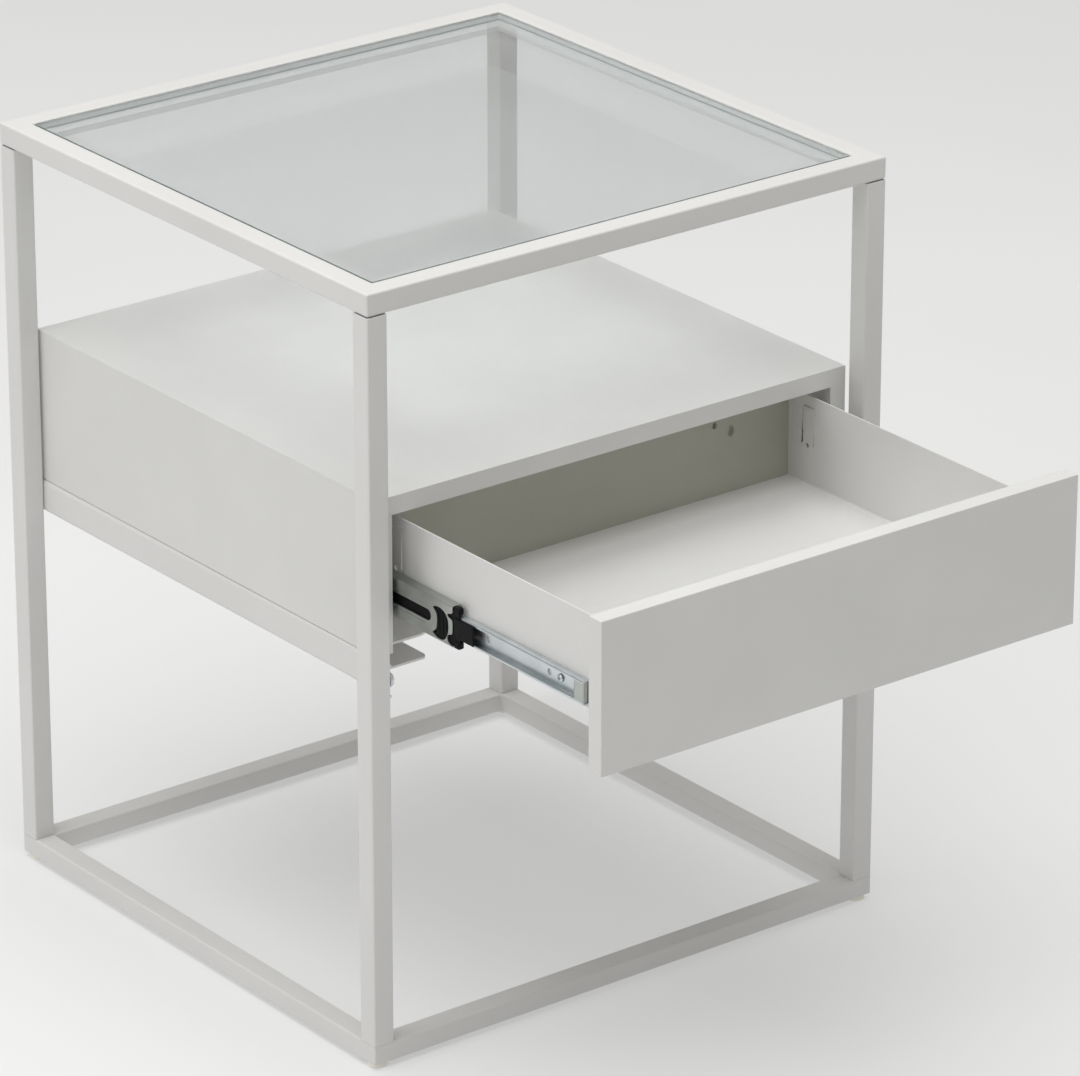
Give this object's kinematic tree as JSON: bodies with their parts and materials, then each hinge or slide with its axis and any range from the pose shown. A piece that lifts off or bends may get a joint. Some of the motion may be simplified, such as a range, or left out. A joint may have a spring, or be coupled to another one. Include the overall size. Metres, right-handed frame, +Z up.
{
  "type": "side table with drawer",
  "caption": "Side table with a square-tube frame, a clear glass top, an open shelf and a cabinet with a drawer on full-extension slides.",
  "frame": {"origin": "on the floor, at the centre of the footprint of the table with its drawer pulled out", "axes": "+Z up, -Y towards the front where the drawer opens, +X to the right seen from the front"},
  "size_m": [0.4, 0.5936, 0.511],
  "materials": {
    "powder_coat": "satin off-white powder coat, fine texture",
    "inner_coat": "the same powder coat, thinner and greyer at the back of the drawer",
    "white_board": "off-white laminated or lacquered board, satin",
    "glass": "clear tempered float glass with polished edges",
    "foot_plastic": "ivory plastic glide",
    "zinc": "bright zinc plating",
    "steel": "plain steel",
    "black_plastic": "black moulded plastic"
  },
  "bodies": {
    "frame": {"top_rail_front": "powder_coat", "top_rail_back": "powder_coat", "top_rail_left": "powder_coat", "top_rail_right": "powder_coat", "base_rail_front": "powder_coat", "base_rail_back": "powder_coat", "base_rail_left": "powder_coat", "base_rail_right": "powder_coat", "ledge_front": "powder_coat", "ledge_back": "powder_coat", "ledge_left": "powder_coat", "ledge_right": "powder_coat", "leg_front_left": "powder_coat", "leg_front_right": "powder_coat", "leg_back_left": "powder_coat", "leg_back_right": "powder_coat", "side_rail_left": "powder_coat", "side_rail_right": "powder_coat", "spigot_front_left": "steel", "spigot_front_right": "steel", "spigot_back_left": "steel", "spigot_back_right": "steel", "glass_top": "glass", "foot_front_left": "foot_plastic", "foot_front_right": "foot_plastic", "foot_back_left": "foot_plastic", "foot_back_right": "foot_plastic", "rail_bolt_front_left": "zinc", "rail_bolt_front_right": "zinc", "rail_bolt_back_left": "zinc", "rail_bolt_back_right": "zinc", "slide_outer_left": "zinc", "slide_outer_right": "zinc", "cabinet_top": "white_board", "cabinet_side_left": "white_board", "cabinet_side_right": "white_board", "cabinet_back": "white_board"},
    "drawer": {"drawer_front": "white_board", "drawer_side_left": "powder_coat", "drawer_side_right": "powder_coat", "drawer_back": "inner_coat", "drawer_inner_front": "powder_coat", "drawer_bottom": "powder_coat", "slide_inner_left": "zinc", "slide_inner_right": "zinc", "slide_screw_left_1": "zinc", "slide_screw_left_2": "zinc", "slide_screw_right_1": "zinc", "slide_screw_right_2": "zinc", "front_screw_left": "zinc", "front_screw_middle": "zinc", "front_screw_right": "zinc"},
    "slide_middle_left": {"slide_middle_left": "zinc", "slide_stop_left": "black_plastic"},
    "outer_cage_left": {"slide_outer_cage_left": "zinc"},
    "inner_cage_left": {"slide_inner_cage_left": "black_plastic"},
    "slide_middle_right": {"slide_middle_right": "zinc", "slide_stop_right": "black_plastic"},
    "outer_cage_right": {"slide_outer_cage_right": "zinc"},
    "inner_cage_right": {"slide_inner_cage_right": "black_plastic"}
  },
  "joints": [
    {"name": "drawer_slide", "type": "slide", "parent": "frame", "child": "drawer", "axis": [0, -1, 0], "range_m": [-0.2025, 0]},
    {"name": "middle_slide_left", "type": "slide", "parent": "frame", "child": "slide_middle_left", "axis": [0, -1, 0], "range_m": [-0.10125, 0]},
    {"name": "outer_cage_slide_left", "type": "slide", "parent": "frame", "child": "outer_cage_left", "axis": [0, -1, 0], "range_m": [-0.05063, 0]},
    {"name": "inner_cage_slide_left", "type": "slide", "parent": "frame", "child": "inner_cage_left", "axis": [0, -1, 0], "range_m": [-0.15188, 0]},
    {"name": "middle_slide_right", "type": "slide", "parent": "frame", "child": "slide_middle_right", "axis": [0, -1, 0], "range_m": [-0.10125, 0]},
    {"name": "outer_cage_slide_right", "type": "slide", "parent": "frame", "child": "outer_cage_right", "axis": [0, -1, 0], "range_m": [-0.05063, 0]},
    {"name": "inner_cage_slide_right", "type": "slide", "parent": "frame", "child": "inner_cage_right", "axis": [0, -1, 0], "range_m": [-0.15188, 0]}
  ],
  "couplings": [
    {"joint": "middle_slide_left", "follows": "drawer_slide", "ratio": 0.5},
    {"joint": "outer_cage_slide_left", "follows": "drawer_slide", "ratio": 0.25},
    {"joint": "inner_cage_slide_left", "follows": "drawer_slide", "ratio": 0.75},
    {"joint": "middle_slide_right", "follows": "drawer_slide", "ratio": 0.5},
    {"joint": "outer_cage_slide_right", "follows": "drawer_slide", "ratio": 0.25},
    {"joint": "inner_cage_slide_right", "follows": "drawer_slide", "ratio": 0.75}
  ]
}
